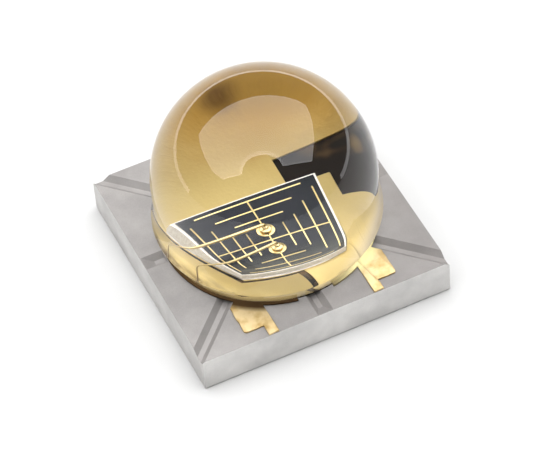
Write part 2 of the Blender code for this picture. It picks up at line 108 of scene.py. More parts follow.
class EmitterBase(bpy.types.PropertyGroup):
    side: size("Side", "Length of each side of the square base", BASE_HIGH.x - BASE_LOW.x)
    groove_width: size("Groove width", "Width of each groove at the top face", 0.27 * MM)
    groove_floor: size("Groove floor", "Width of the flat floor of each groove", 0.09 * MM)
    groove_depth: size("Groove depth", "Depth of each groove", 0.09 * MM)
    groove_hip: size("Groove hip", "Run of the sloped end of a groove at the middle of a side", 0.20 * MM)
    groove_lip: size("Groove lip", "Land left between that end and the side", 0.012 * MM)
    groove_tuck: size("Groove tuck", "How far a groove starts inside the edge of the film", 0.01 * MM)
    shift_x: offset("Shift X", "Star of grooves off the middle along X", -0.02 * MM)
    shift_y: offset("Shift Y", "Star of grooves off the middle along Y", 0.13 * MM)
    edge: size("Edge", "Radius worn on the edges by tumbling", 0.014 * MM)
    ceramic: colour("Ceramic", "Fired top of the base", "95918E")
    # painted shade: the colour the top and groove walls darken to towards one corner
    painted_shade: colour("Aged ceramic", "What the top darkens to towards one corner", "6A6461")
    # painted light: the sides of the base get a lighter tone than its top
    sawn: colour("Sawn ceramic", "Sides of the base, lighter where they were sawn", "BFBDBA")
    # painted light: the sides that run along X are paler still than the other two
    lit_side: colour("Snapped ceramic", "Sides along X, paler where they were snapped apart", "DAD8D5")
    # painted shade: the walls of the grooves get a darker tone than the top
    shadowed: colour("Pressed ceramic", "Walls of the grooves, darker where they were pressed", "85817E")
    glaze: colour("Glaze", "Dark glaze under the film", "19120C")
    glaze_brown: colour("Brown glaze", "Thin patches of the glaze", "6A5232")
    glaze_smear: colour("Gold smear", "Film that was dragged over the glaze", "B08C48")


class EmitterGold(bpy.types.PropertyGroup):
    film_radius: size("Film radius", "Radius of the round part of the film", 1.80 * MM)
    edge: size("Edge", "Rounding of the edges of the film", 0.009 * MM)
    wave: size("Wave", "How far the edges of the tabs wander", 0.014 * MM)
    gold: colour("Gold", "Plated gold of fingers and contacts", "F3DC9E")
    # painted reflection: the film under the dome goes browner towards its far side, where it mirrors the dark
    # room behind
    near: colour("Near film", "Film under the dome, close to the die", "D2BB7C")
    far: colour("Far film", "Film under the dome, at its far side", "AC863E")
    # painted highlight: paler, greyer film to the right of the die
    pale_highlight: colour("Greyed film", "Film beside the die, where the plating is thin", "C9BFAE")
    streak: colour("Streaks", "Brown streaks round the feet of the wires", "7A6238")
    flux: colour("Flux", "Brown spot of burnt flux", "5E3E1C")
    # painted shadow: dark brown on the film where it comes out from under the gel and flange, on the front
    # left
    painted_shadow: colour("Stain", "Brown stain where the film leaves the gel", "54402A")
    # painted highlight: a pale rim on the film to the right
    bright: colour("Bright rim", "Clean rim of the film", "FBEFB4")
    bare: colour("Bare film", "Film outside the dome", "D8C294")
    worn: colour("Worn film", "Blotches on the film outside the dome", "BC9E66")


class EmitterChip(bpy.types.PropertyGroup):
    side: size("Die side", "Length of each side of the die", 1.29 * MM)
    place_x: offset("Die X", "Middle of the die along X", 0.02 * MM)
    place_y: offset("Die Y", "Middle of the die along Y", 0.005 * MM)
    turn: angle("Die turn", "How far the die sits askew", -2.3)
    border: size("Border", "Width of the sawn border round the face", 0.018 * MM)
    step: size("Step", "How far the border lies under the face", 0.008 * MM)
    finger_width: size("Finger width", "Width of a contact finger", 0.014 * MM)
    finger_first: size("First finger", "From the middle of the die to the first square", 0.185 * MM)
    finger_pitch: size("Finger pitch", "From one square of fingers to the next", 0.130 * MM)
    finger_short: size("Finger cut back", "How much shorter than its square a half finger is", 0.075 * MM)
    finger_round: size("Finger rounding", "Rounding of the edges of the contact", 0.002 * MM)
    finger_count: bpy.props.IntProperty(name="Squares", description="Nested squares", default=4, min=1)
    pad_offset: size("Bond pad offset", "From the middle of the die to a bond pad", 0.150 * MM)
    pad_radius: size("Bond pad radius", "Radius of a bond pad", 0.088 * MM)
    face: colour("Die face", "Top of the die", "12161C")
    layers: colour("Die layers", "Lines left by the layers along the front of the die", "6B6B62")


class EmitterWire(bpy.types.PropertyGroup):
    radius: size("Wire radius", "Radius of a bond wire", 0.016 * MM)
    ball_radius: size("Ball radius", "Radius of the ball on the die", 0.060 * MM)
    ball_height: size("Ball height", "Height of that ball", 0.036 * MM)
    foot_radius: size("Foot radius", "Radius of the ball on the film", 0.040 * MM)
    foot_height: size("Foot height", "Height of that ball", 0.022 * MM)
    loop: size("Loop", "Rise of the wire's middle over the ball on the die", 0.042 * MM)
    crest: size("Crest", "Height of the wire's middle over the film, before it drops", 0.42 * MM)
    bend: size("Bend", "Radius of the bend before the drop", 0.10 * MM)
    back_x: offset("Back foot X", "Foot of the back wire along X", -1.65 * MM)
    back_y: offset("Back foot Y", "Foot of the back wire along Y", -0.05 * MM)
    front_x: offset("Front foot X", "Foot of the front wire along X", -1.43 * MM)
    front_y: offset("Front foot Y", "Foot of the front wire along Y", -0.62 * MM)
    gold: colour("Gold wire", "Drawn gold", "F0D9A0")


class EmitterOptic(bpy.types.PropertyGroup):
    radius: size("Dome radius", "Radius of the dome", 1.853 * MM)
    flange_radius: size("Flange radius", "Radius of the flange", 1.90 * MM)
    flange_thickness: size("Flange thickness", "Thickness of the flange", 0.11 * MM)
    flange_round: size("Flange rounding", "Radius of the rim of the flange", 0.05 * MM)
    flare: amount("Flare", "How late the foot of the dome opens out to the flange", 1.25)
    swell: amount("Swell", "How slowly the wall over the flange widens", 0.7)
    lean: angle("Lean", "How far the rim turns under before the gel leads on", 25)
    gel_foot: size("Gel foot radius", "Radius of the gel at the film", 1.755 * MM)
    sunk: size("Gel depth", "How far the gel wets into the film and the glaze", 0.005 * MM)
    index: amount("Refractive index", "How strongly the dome and the gel bend light", 1.43, 2.5)
    coat: amount("Coat", "Strength of the faint mirror on the glass", 0.2, 1.0)


class EmitterStage(bpy.types.PropertyGroup):
    azimuth: angle("Azimuth", "Camera's turn round the part", -21.44)
    elevation: angle("Elevation", "Camera's height over the horizon", 48.7)
    roll: angle("Roll", "Camera's roll", -5.28)
    distance: size("Distance", "From the camera to its aim", 53.28 * MM)
    look_x: offset("Look at X", "Camera's aim along X", 0.077 * MM)
    look_y: offset("Look at Y", "Camera's aim along Y", 0.136 * MM)
    look_z: offset("Look at Z", "Camera's aim along Z", 0.4 * MM)
    lens: amount("Lens", "Focal length in millimetres on a 36 mm sensor", 215.27, 500.0)
    floor: colour("Floor", "Pale floor", "D2D2D1")
    card_radius: size("Card radius", "Radius of the card on the table", 0.35)
    card_thickness: size("Card thickness", "Thickness of that card", 0.004)
    box_height: size("Softbox height", "How high the softbox hangs", 0.15)
    box_width: size("Softbox width", "Width of the softbox", 0.388)
    box_depth: size("Softbox depth", "Depth of the softbox", 0.240)
    box_turn: angle("Softbox turn", "How far the softbox is turned about the upright", -13.5)
    box_x: offset("Softbox X", "Middle of the softbox along X", -0.0155)
    box_y: offset("Softbox Y", "Middle of the softbox along Y", 0.0225)
    box_cut_x: amount("Cut along X", "Start of the cut corner, as a share of half the width", 0.86, 1.0)
    box_cut_y: amount("Cut along Y", "End of the cut corner, as a share of half the depth", 0.6, 1.0)
    box_rim: size("Softbox rim", "Width of its brighter rim", 0.006)
    box_panel: size("Softbox panel", "Thickness of the lit panels", 0.0005)
    barrel: size("Barrel", "Radius of the shade that the camera throws on the softbox", 0.077)
    barrel_out: size("Barrel out", "How far outside the softbox its middle lies", 0.02)
    box_power: amount("Softbox light", "Brightness of the softbox", 3.2, 100.0)
    rim_power: amount("Rim light", "Brightness of its rim over that of the softbox", 1.5)
    strip: size("Strip", "Height of the lit edge round the table", 0.022)
    strip_radius: size("Strip radius", "Radius of that edge", 0.34)
    strip_thickness: size("Strip thickness", "Thickness of that edge", 0.002)
    strip_arc: angle("Strip arc", "How much of the edge is lit, behind the part", 200)
    strip_power: amount("Strip light", "Brightness of that edge", 2.6, 100.0)
    sky_power: amount("Fill", "Brightness of the room round the table", 0.16, 100.0)


# Meshes

def rectangle(x0, x1, y0, y1):
    """Corners of a rectangle."""
    return [(x0, y0), (x1, y0), (x1, y1), (x0, y1)]


def arc(x, y, radius, start, end, steps):
    """Points along an arc, both ends included."""
    turns = [start + (end - start) * i / steps for i in range(steps + 1)]
    return [(x + radius * math.cos(a), y + radius * math.sin(a)) for a in turns]


def to_mesh(name, bm):
    """Turns a bmesh into a mesh with its faces pointing out."""
    bmesh.ops.recalc_face_normals(bm, faces=bm.faces)
    mesh = bpy.data.meshes.new(name)
    bm.to_mesh(mesh)
    bm.free()
    return mesh


def prism(name, outline, low, high):
    """A flat outline raised between two levels."""
    bm = bmesh.new()
    floor = bm.faces.new([bm.verts.new((x, y, low)) for x, y in outline])
    raised = bmesh.ops.extrude_face_region(bm, geom=[floor])["geom"]
    corners = [v for v in raised if isinstance(v, bmesh.types.BMVert)]
    bmesh.ops.translate(bm, verts=corners, vec=(0, 0, high - low))
    return to_mesh(name, bm)


def new_object(name, mesh):
    """Links a mesh to the scene."""
    made = bpy.data.objects.new(name, mesh)
    bpy.context.scene.collection.objects.link(made)
    return made


def turned(name, profile):
    """Turns a profile that starts and ends on the axis into a closed solid."""
    bm = bmesh.new()
    rings = []
    for radius, height in profile:
        if radius == 0:
            rings.append([bm.verts.new((0, 0, height))])
        else:
            turns = [2 * math.pi * i / TURN_STEPS for i in range(TURN_STEPS)]
            rings.append([bm.verts.new((radius * math.cos(a), radius * math.sin(a), height)) for a in turns])
    for one, two in zip(rings, rings[1:]):
        for i in range(TURN_STEPS):
            j = (i + 1) % TURN_STEPS
            corners = [one[i % len(one)], one[j % len(one)], two[j % len(two)], two[i % len(two)]]
            bm.faces.new(list(dict.fromkeys(corners)))
    return to_mesh(name, bm)


def evaluated(made):
    """Bakes an object's modifiers into its mesh."""
    graph = bpy.context.evaluated_depsgraph_get()
    mesh = bpy.data.meshes.new_from_object(made.evaluated_get(graph))
    old = made.data
    made.modifiers.clear()
    made.data = mesh
    bpy.data.meshes.remove(old)
    return made


def merged(node):
    """A copy of a CAD node's mesh with its loose triangles joined into whole faces."""
    bm = bmesh.new()
    bm.from_mesh(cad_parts[node].data)
    bmesh.ops.remove_doubles(bm, verts=bm.verts, dist=0.0001 * MM)
    bmesh.ops.dissolve_limit(bm, angle_limit=math.radians(1), verts=bm.verts, edges=bm.edges)
    return bm


def carve(made, cutter_meshes):
    """Cuts each of the meshes out of an object."""
    cutters = [new_object("cutter", mesh) for mesh in cutter_meshes]
    for cutter in cutters:
        step = made.modifiers.new("cut", "BOOLEAN")
        step.operation = "DIFFERENCE"
        step.solver = "EXACT"
        step.object = cutter
    evaluated(made)
    for cutter in cutters:
        bpy.data.objects.remove(cutter)
    return made


def soften(made, width, segments, limit):
    """Rounds every edge sharper than the limit, in degrees."""
    step = made.modifiers.new("edges", "BEVEL")
    step.width = width
    step.segments = segments
    step.limit_method = "ANGLE"
    step.angle_limit = math.radians(limit)
    step.use_clamp_overlap = True
    step.harden_normals = False
    return evaluated(made)


def smooth(made, limit):
    """Shades smooth, with a crease kept where faces meet at more than the limit, in degrees."""
    made.data.shade_smooth()
    made.data.set_sharp_from_angle(angle=math.radians(limit))
    return made


def dress(made, *surfaces):
    """Gives a piece or a CAD node its materials."""
    made.data.materials.clear()
    for surface in surfaces:
        made.data.materials.append(surface)


def finish_piece(made, slot, *nodes):
    """Puts a dressed piece on the body and lets it stand for its CAD nodes; its slot is not used."""
    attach(made, BODY)
    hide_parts(*nodes)


# Node trees

def feed(tree, node, sockets):
    """Sets a node's inputs, each to a value or to what feeds it. A node stands for its first live output."""
    for key, source in sockets.items():
        if isinstance(source, bpy.types.Node):
            source = next(output for output in source.outputs if output.enabled)
        if isinstance(source, bpy.types.NodeSocket):
            tree.links.new(source, node.inputs[key])
        else:
            node.inputs[key].default_value = source


def add(tree, kind, sockets=None, stops=(), **settings):
    """Adds a node with its inputs and its settings. A ramp's stops are given as (position, colour)."""
    node = tree.nodes.new(kind)
    for key, value in settings.items():
        setattr(node, key, value)
    for position, shade in stops[2:]:
        node.color_ramp.elements.new(position)
    if stops:
        for element, (position, shade) in zip(node.color_ramp.elements, stops):
            element.position = position
            element.color = shade
    feed(tree, node, sockets or {})
    return node


def new_tree(name, sockets):
    """A node group that takes a geometry and the named inputs and gives a geometry."""
    tree = bpy.data.node_groups.new(name, "GeometryNodeTree")
    tree.interface.new_socket("Geometry", in_out="INPUT", socket_type="NodeSocketGeometry")
    for key, kind in sockets.items():
        tree.interface.new_socket(key, in_out="INPUT", socket_type="NodeSocket" + kind)
    tree.interface.new_socket("Geometry", in_out="OUTPUT", socket_type="NodeSocketGeometry")
    return tree, tree.nodes.new("NodeGroupInput").outputs


def close_tree(tree, parts, surface):
    """Joins the parts, makes them real and gives them their material."""
    joined = tree.nodes.new("GeometryNodeJoinGeometry")
    for part in parts:
        feed(tree, joined, {"Geometry": part})
    real = add(tree, "GeometryNodeRealizeInstances", {"Geometry": joined})
    dressed = add(tree, "GeometryNodeSetMaterial", {"Geometry": real, "Material": surface})
    add(tree, "NodeGroupOutput", {"Geometry": dressed})
    return tree


def grown(name, points, tree, values):
    """Runs a tree on a line through the points and bakes what it makes."""
    mesh = bpy.data.meshes.new(name)
    mesh.from_pydata([tuple(p) for p in points], [(i, i + 1) for i in range(len(points) - 1)], [])
    made = new_object(name, mesh)
    step = made.modifiers.new(tree.name, "NODES")
    step.node_group = tree
    for item in tree.interface.items_tree:
        if item.in_out == "INPUT" and item.name in values:
            step[item.identifier] = values[item.name]
    return evaluated(made)


# Patterns that several materials share

def new_material(name):
    """An empty node material, its tree and its Principled shader."""
    made = bpy.data.materials.new(name)
    made.use_nodes = True
    return made, made.node_tree, made.node_tree.nodes["Principled BSDF"]


def shaded(tone, share):
    """A colour made darker or lighter."""
    return tuple(min(1.0, c * share) for c in tone[:3]) + (1.0,)


def in_millimetres(tree):
    """Object coordinates, in millimetres."""
    place = add(tree, "ShaderNodeTexCoord").outputs["Object"]
    return add(tree, "ShaderNodeVectorMath", {0: place, "Scale": 1 / MM}, operation="SCALE")


def along(tree, place, direction, start, end):
    """Rises from nought to one between two distances along a direction, in millimetres."""
    run = add(tree, "ShaderNodeVectorMath", {0: place, 1: direction}, operation="DOT_PRODUCT")
    return add(tree, "ShaderNodeMapRange", {"Value": run, "From Min": start, "From Max": end})


def spot(tree, place, x, y, half_x, half_y):
    """One inside a soft oval spot given in millimetres, and nought outside it."""
    away = add(tree, "ShaderNodeVectorMath", {0: place, 1: (x, y, 0.0)}, operation="SUBTRACT")
    scaled = add(tree, "ShaderNodeVectorMath", {0: away, 1: (1 / half_x, 1 / half_y, 0.0)},
                 operation="MULTIPLY")
    reach = add(tree, "ShaderNodeVectorMath", {0: scaled}, operation="LENGTH")
    return add(tree, "ShaderNodeMapRange", {"Value": reach, "From Min": 1.3, "From Max": 0.3})


def stain_and_painted_light(tree, under, over, share, strength):
    """Lays one colour over another by a share, at some strength: used both for stains and for painted light
    and shade.
    """
    both = add(tree, "ShaderNodeMath", {0: share, 1: strength}, operation="MULTIPLY")
    return add(tree, "ShaderNodeMix", {"Factor": both, 6: under, 7: over}, data_type="RGBA")


# Materials

def fired_ceramic(name, tone, painted_shade, darkening):
    """Pressed and fired aluminium nitride: a fine grain, faint cloudy patches and a dull sheen, with painted
    shade that darkens it towards one corner.
    """
    made, tree, shader = new_material(name)
    place = in_millimetres(tree)
    grain = add(tree, "ShaderNodeTexNoise", {"Vector": place, "Scale": 60.0, "Detail": 3.0, "Roughness": 0.6})
    cloud = add(tree, "ShaderNodeTexNoise", {"Vector": place, "Scale": 1.6, "Detail": 3.0, "Roughness": 0.55})
    mixed = add(tree, "ShaderNodeMath", {0: grain, 1: 0.45, 2: cloud}, operation="MULTIPLY_ADD")
    shade = add(tree, "ShaderNodeValToRGB", {"Fac": mixed},
                [(0.52, shaded(tone, 0.82)), (0.95, shaded(tone, 1.14))])
    # painted shade: darker towards the +X corner
    to_corner = along(tree, place, (0.9, -0.3, 0.0), 0.2, 2.4)
    feed(tree, shader, {
        "Base Color": stain_and_painted_light(tree, shade, painted_shade, to_corner, darkening),
        "Roughness": add(tree, "ShaderNodeMapRange", {"Value": grain, "To Min": 0.42, "To Max": 0.62}),
        "Normal": add(tree, "ShaderNodeBump", {"Height": grain, "Distance": 0.0012 * MM, "Strength": 0.6}),
        "IOR": 1.8,
        "Specular IOR Level": 0.35,
    })
    return made


def fired_glaze(base):
    """Dark glass glaze, printed and fired: smooth, nearly black, with brown patches and a smear of gold."""
    made, tree, shader = new_material("dark fired glaze")
    place = in_millimetres(tree)
    cloud = add(tree, "ShaderNodeTexNoise", {"Vector": place, "Scale": 2.4, "Detail": 3.0})
    clouded = add(tree, "ShaderNodeValToRGB", {"Fac": cloud},
                  [(0.55, base.glaze), (0.72, base.glaze_brown)])
    smear = spot(tree, place, 0.975, 0.93, 0.018, 0.12)
    feed(tree, shader, {
        "Base Color": stain_and_painted_light(tree, clouded, base.glaze_smear, smear, 0.5),
        "Roughness": 0.45,
        "IOR": 1.2,  # low, because it lies under gel and not in air
    })
    return made


def plated_gold(name, tone, rough_low, rough_high, lumps, depth):
    """Gold plate: its grain breaks up the reflections into a satin glow, with cloudy patches of deeper tone.
    """
    made, tree, shader = new_material(name)
    place = in_millimetres(tree)
    grain = add(tree, "ShaderNodeTexNoise",
                {"Vector": place, "Scale": lumps, "Detail": 4.0, "Roughness": 0.6})
    cloud = add(tree, "ShaderNodeTexNoise", {"Vector": place, "Scale": 2.2, "Detail": 3.0})
    deep = (tone[0] * 0.88, tone[1] * 0.84, tone[2] * 0.74, 1.0)
    feed(tree, shader, {
        "Base Color": add(tree, "ShaderNodeValToRGB", {"Fac": cloud}, [(0.35, deep), (0.65, tone)]),
        "Roughness": add(tree, "ShaderNodeMapRange",
                         {"Value": grain, "To Min": rough_low, "To Max": rough_high}),
        "Normal": add(tree, "ShaderNodeBump", {"Height": grain, "Distance": depth, "Strength": 0.8}),
        "Metallic": 1.0,
    })
    return made


def covered_film(tree, place, cloud, gold):
    """Film under the dome: a painted reflection of the dark room makes it browner to the far side, a painted
    highlight pales it beside the die, and it is streaked and spotted.
    """
    # painted reflection: browner towards the far side
    to_far = (0.366, 0.931, 0.0)
    depth = add(tree, "ShaderNodeVectorMath", {0: place, 1: to_far}, operation="DOT_PRODUCT")
    wander = add(tree, "ShaderNodeMath", {0: cloud, 1: 0.5, 2: depth}, operation="MULTIPLY_ADD")
    share = add(tree, "ShaderNodeMapRange", {"Value": wander, "From Min": 0.65, "From Max": 1.75})
    stops = [(0.0, gold.near), (0.45, gold.near), (1.0, gold.far)]
    shade = add(tree, "ShaderNodeValToRGB", {"Fac": share}, stops)
    # painted highlight to the right of the die
    shade = stain_and_painted_light(tree, shade, gold.pale_highlight, along(tree, place, (0.96, -0.28, 0.0), 0.85, 1.35), 0.7)
    rows = add(tree, "ShaderNodeVectorMath", {0: place, 1: (5.0, 1.6, 0.0)}, operation="MULTIPLY")
    drawn = add(tree, "ShaderNodeTexNoise", {"Vector": rows, "Scale": 1.0, "Detail": 4.0})
    streaks = add(tree, "ShaderNodeMapRange", {"Value": drawn, "From Min": 0.38, "From Max": 0.6})
    shade = stain_and_painted_light(tree, shade, gold.streak, along(tree, place, (-0.97, -0.24, 0.0), 1.15, 1.55), streaks)
    return stain_and_painted_light(tree, shade, gold.flux, spot(tree, place, 0.37, 1.56, 0.13, 0.05), 0.75)


def film_gold(gold):
    """Gold plate on printed film: satin, with a painted shadow where the gel ends, a painted highlight on its
    rim on one side, and worn on the tabs.
    """
    made, tree, shader = new_material("gold plate on printed film")
    place = in_millimetres(tree)
    grain = add(tree, "ShaderNodeTexNoise", {"Vector": place, "Scale": 34.0, "Detail": 4.0, "Roughness": 0.6})
    cloud = add(tree, "ShaderNodeTexNoise", {"Vector": place, "Scale": 1.8, "Detail": 3.0, "Roughness": 0.55})
    blots = add(tree, "ShaderNodeTexNoise", {"Vector": place, "Scale": 4.0, "Detail": 4.0})
    wear = add(tree, "ShaderNodeTexNoise", {"Vector": place, "Scale": 5.0, "Detail": 4.0})
    flat = add(tree, "ShaderNodeVectorMath", {0: place, 1: (1.0, 1.0, 0.0)}, operation="MULTIPLY")
    radius = add(tree, "ShaderNodeVectorMath", {0: flat}, operation="LENGTH")
    ragged = add(tree, "ShaderNodeMath", {0: blots, 1: 0.35, 2: radius}, operation="MULTIPLY_ADD")
    # mask of the painted shadow: a ragged ring where the film leaves the gel
    rim = add(tree, "ShaderNodeMapRange", {"Value": ragged, "From Min": 1.69, "From Max": 1.84})
    # mask of the painted highlight on the rim
    painted_highlight = add(tree, "ShaderNodeMapRange", {"Value": radius, "From Min": 1.66, "From Max": 1.74})
    outside = add(tree, "ShaderNodeMapRange", {"Value": radius, "From Min": 1.86, "From Max": 1.96})
    bare = add(tree, "ShaderNodeValToRGB", {"Fac": wear}, [(0.34, gold.worn), (0.60, gold.bare)])
    shade = covered_film(tree, place, cloud, gold)
    # painted shadow on the front left
    shade = stain_and_painted_light(tree, shade, gold.painted_shadow, rim, along(tree, place, (-0.635, -0.772, 0.0), 0.1, 0.9))
    # painted highlight on the rim to the right
    shade = stain_and_painted_light(tree, shade, gold.bright, painted_highlight, along(tree, place, (0.96, -0.28, 0.0), 0.7, 1.2))
    feed(tree, shader, {
        "Base Color": stain_and_painted_light(tree, shade, bare, outside, 1.0),
        "Roughness": add(tree, "ShaderNodeMapRange", {"Value": grain, "To Min": 0.44, "To Max": 0.58}),
        "Normal": add(tree, "ShaderNodeBump", {"Height": grain, "Distance": 0.003 * MM, "Strength": 0.8}),
        "Metallic": 1.0,
    })
    return made


def die_face(chip):
    """Polished semiconductor: near black, with a blue cast and faint lines left by its layers."""
    made, tree, shader = new_material("polished semiconductor")
    place = in_millimetres(tree)
    cloud = add(tree, "ShaderNodeTexNoise", {"Vector": place, "Scale": 2.5, "Detail": 2.0})
    violet = (chip.face[0] * 1.6, chip.face[1] * 1.3, chip.face[2] * 1.5, 1.0)
    plain = add(tree, "ShaderNodeValToRGB", {"Fac": cloud}, [(0.35, chip.face), (0.7, violet)])
    rows = add(tree, "ShaderNodeVectorMath", {0: place, 1: (0.8, 26.0, 0.0)}, operation="MULTIPLY")
    lines = add(tree, "ShaderNodeTexNoise", {"Vector": rows, "Scale": 1.0, "Detail": 1.0})
    to_front = along(tree, place, (0.04, 0.999, 0.0), -0.15, -0.45)
    feed(tree, shader, {
        "Base Color": stain_and_painted_light(tree, plain, chip.layers, to_front, lines),
        "Roughness": 0.2,
        "IOR": 1.22,  # low, because the face is coated and lies under gel
    })
    return made


def die_wall():
    """Sawn side of the die: bright and finely scored."""
    made, tree, shader = new_material("sawn semiconductor wall")
    score = add(tree, "ShaderNodeTexNoise",
                {"Vector": in_millimetres(tree), "Scale": 45.0, "Detail": 2.0})
    stops = [(0.3, linear("E4DDD2")), (0.7, linear("FBF7F0"))]
    feed(tree, shader, {"Base Color": add(tree, "ShaderNodeValToRGB", {"Fac": score}, stops),
                        "Roughness": 0.4})
    return made


def die_solder():
    """Solder under the die: bright and a little uneven."""
    made, tree, shader = new_material("bright die solder")
    grain = add(tree, "ShaderNodeTexNoise",
                {"Vector": in_millimetres(tree), "Scale": 12.0, "Detail": 4.0})
    stops = [(0.3, linear("A8A29A")), (0.7, linear("D8D3CB"))]
    feed(tree, shader, {"Base Color": add(tree, "ShaderNodeValToRGB", {"Fac": grain}, stops),
                        "Metallic": 1.0, "Roughness": 0.3})
    return made


def clear_optic(optic):
    """Clear glass over clear gel, as one body: it bends what lies inside and mirrors the room faintly."""
    made, tree, shader = new_material("clear glass and gel")
    feed(tree, shader, {"Base Color": linear("FFFFFF"), "Transmission Weight": 1.0, "Roughness": 0.0,
                        "IOR": optic.index, "Coat Weight": optic.coat, "Coat Roughness": 0.0})
    # light for the film passes straight through, so no sharp light patterns form under the glass
    clear = add(tree, "ShaderNodeBsdfTransparent", {"Color": linear("FBF8F2")})
    path = add(tree, "ShaderNodeLightPath")
    mixed = add(tree, "ShaderNodeMixShader", {0: path.outputs["Is Shadow Ray"], 1: shader, 2: clear})
    feed(tree, tree.nodes["Material Output"], {"Surface": mixed})
    return made


def floor_card(tone):
    """Matte white card under the part, with a faint fibre."""
    made, tree, shader = new_material("white card")
    fibre = add(tree, "ShaderNodeTexNoise",
                {"Vector": in_millimetres(tree), "Scale": 0.8, "Detail": 3.0})
    stops = [(0.3, shaded(tone, 0.97)), (0.7, tone)]
    feed(tree, shader, {"Base Color": add(tree, "ShaderNodeValToRGB", {"Fac": fibre}, stops),
                        "Roughness": 0.9})
    return made


def glow(name, power):
    """Diffuser of a studio light: even and white."""
    made, tree, shader = new_material(name)
    tree.nodes.remove(shader)
    light = add(tree, "ShaderNodeEmission", {"Strength": power, "Color": linear("FEFEFF")})
    feed(tree, tree.nodes["Material Output"], {"Surface": light})
    return made


# Base, film and underside

def groove_cutter(settings, eighth, start):
    """A trough from the film out to the edge; at the middle of a side its end slopes up to the top face."""
    turn = math.radians(45 * eighth)
    along_it = Vector((math.cos(turn), math.sin(turn), 0))
    across = Vector((-along_it.y, along_it.x, 0))
    middle = Vector((settings.shift_x, settings.shift_y, 0))
    top = BASE_HIGH.z
    above = top + 0.2 * MM
    if eighth % 2 == 0:
        end = settings.side / 2 - settings.groove_lip - middle.dot(along_it)
        floor_end = end - settings.groove_hip
    else:
        end = floor_end = math.sqrt(2) * settings.side
    half_top = settings.groove_width / 2
    half_floor = settings.groove_floor / 2
    sections = (
        (start, half_top, above),
        (start, half_top, top),
        (start, half_floor, top - settings.groove_depth),
        (floor_end, half_floor, top - settings.groove_depth),
        (end, half_top, top),
        (end, half_top, above),
    )
    bm = bmesh.new()
    sides = []
    for sign in (-1, 1):
        spots = [middle + along_it * run + across * (sign * half) for run, half, level in sections]
        sides.append([bm.verts.new((p.x, p.y, level)) for p, (run, half, level) in zip(spots, sections)])
    left, right = sides
    for i in range(len(sections)):
        j = (i + 1) % len(sections)
        bm.faces.new([left[i], left[j], right[j], right[i]])
    for high_in, low_in, floor_in, floor_out, low_out, high_out in sides:
        bm.faces.new([high_in, low_in, low_out, high_out])
        bm.faces.new([low_in, floor_in, floor_out, low_out])
    return to_mesh("groove", bm)


def surface_kind(face, half):
    """Tells the top of the base (0) from its sides (1 and 3) and from the walls of its grooves (2)."""
    side_band = 0.02 * MM
    steep, gentle, level = 0.1, 0.5, 0.93
    if max(abs(face.center.x), abs(face.center.y)) > half - side_band and face.normal.z < gentle:
        return 1 if abs(face.normal.x) > abs(face.normal.y) else 3
    return 2 if steep < face.normal.z < level else 0


class EMITTER_OT_base(bpy.types.Operator):
    """Ceramic base with its star of grooves, and the glaze on it"""
    bl_idname = "emitter.base"
    bl_label = "Ceramic base"

    def execute(self, context):
        settings = context.scene.emitter_base
        half = settings.side / 2
        outline = rectangle(-half, half, -half, half)
        made = new_object("base_ceramic", prism("base_ceramic", outline, BASE_LOW.z, BASE_HIGH.z))
        start = context.scene.emitter_gold.film_radius - settings.groove_tuck
        carve(made, [groove_cutter(settings, eighth, start) for eighth in range(8)])
        soften(made, settings.edge, 3, 20)
        smooth(made, 35)
        # painted light and shade: the sides get lighter copies of the ceramic than the top, the groove walls
        # a darker one, and the top and groove walls carry painted shade towards one corner
        kinds = (("fired", settings.ceramic, 0.47), ("sawn", settings.sawn, 0.0),
                 ("shadowed", settings.shadowed, 0.3), ("lit_side", settings.lit_side, 0.0))
        dress(made, *[fired_ceramic(name + " aluminium nitride ceramic", tone, settings.painted_shade, darkening)
                      for name, tone, darkening in kinds])
        for face in made.data.polygons:
            face.material_index = surface_kind(face, half)
        finish_piece(made, "ceramic", "ceramic_base")
        dress(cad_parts["glaze_layer"], fired_glaze(settings))
        return {"FINISHED"}


class EMITTER_OT_film(bpy.types.Operator):
    """Gold film: the two pads and their tabs"""
    bl_idname = "emitter.film"
    bl_label = "Gold film"

    def execute(self, context):
        gold = context.scene.emitter_gold
        surface = film_gold(gold)
        tab_start = gold.film_radius + 0.002 * MM
        long_edge = 0.07 * MM
        lumps_per_metre = 9000
        perlin.seed_set(7)  # the same wave in every run
        for name, node in (("film_bond", "bond_pad"), ("film_die", "die_pad")):
            bm = merged(node)
            outer = [e for e in bm.edges if e.calc_length() > long_edge
                     and all(v.co.xy.length > tab_start for v in e.verts)]
            bmesh.ops.subdivide_edges(bm, edges=outer, cuts=5)
            for v in bm.verts:
                if v.co.xy.length > tab_start:
                    push = perlin.noise_vector(Vector((v.co.x, v.co.y, 0)) * lumps_per_metre) * gold.wave
                    v.co.x += push.x
                    v.co.y = max(v.co.y + push.y, BASE_LOW.y)
            made = new_object(name, to_mesh(name, bm))
            soften(made, gold.edge, 2, 40)
            smooth(made, 35)
            dress(made, surface)
            finish_piece(made, "gold_film", node)
        return {"FINISHED"}


class EMITTER_OT_underside(bpy.types.Operator):
    """Solder contacts and filled holes"""
    bl_idname = "emitter.underside"
    bl_label = "Underside"

    def execute(self, context):
        flash = plated_gold("gold flash on nickel", tuple(context.scene.emitter_gold.gold), 0.3, 0.45, 30.0,
                            0.001 * MM)
        copper = plated_gold("copper fill", linear("C98A66"), 0.35, 0.5, 30.0, 0.001 * MM)
        for name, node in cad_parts.items():
            if name.endswith("_contact") and name != "top_contact":
                dress(node, flash)
            elif "_via_" in name:
                dress(node, copper)
        return {"FINISHED"}


# Die and wires

def on_die(chip, x, y):
    """Where a point given from the middle of the die lies."""
    cosine, sine = math.cos(chip.turn), math.sin(chip.turn)
    return chip.place_x + x * cosine - y * sine, chip.place_y + x * sine + y * cosine


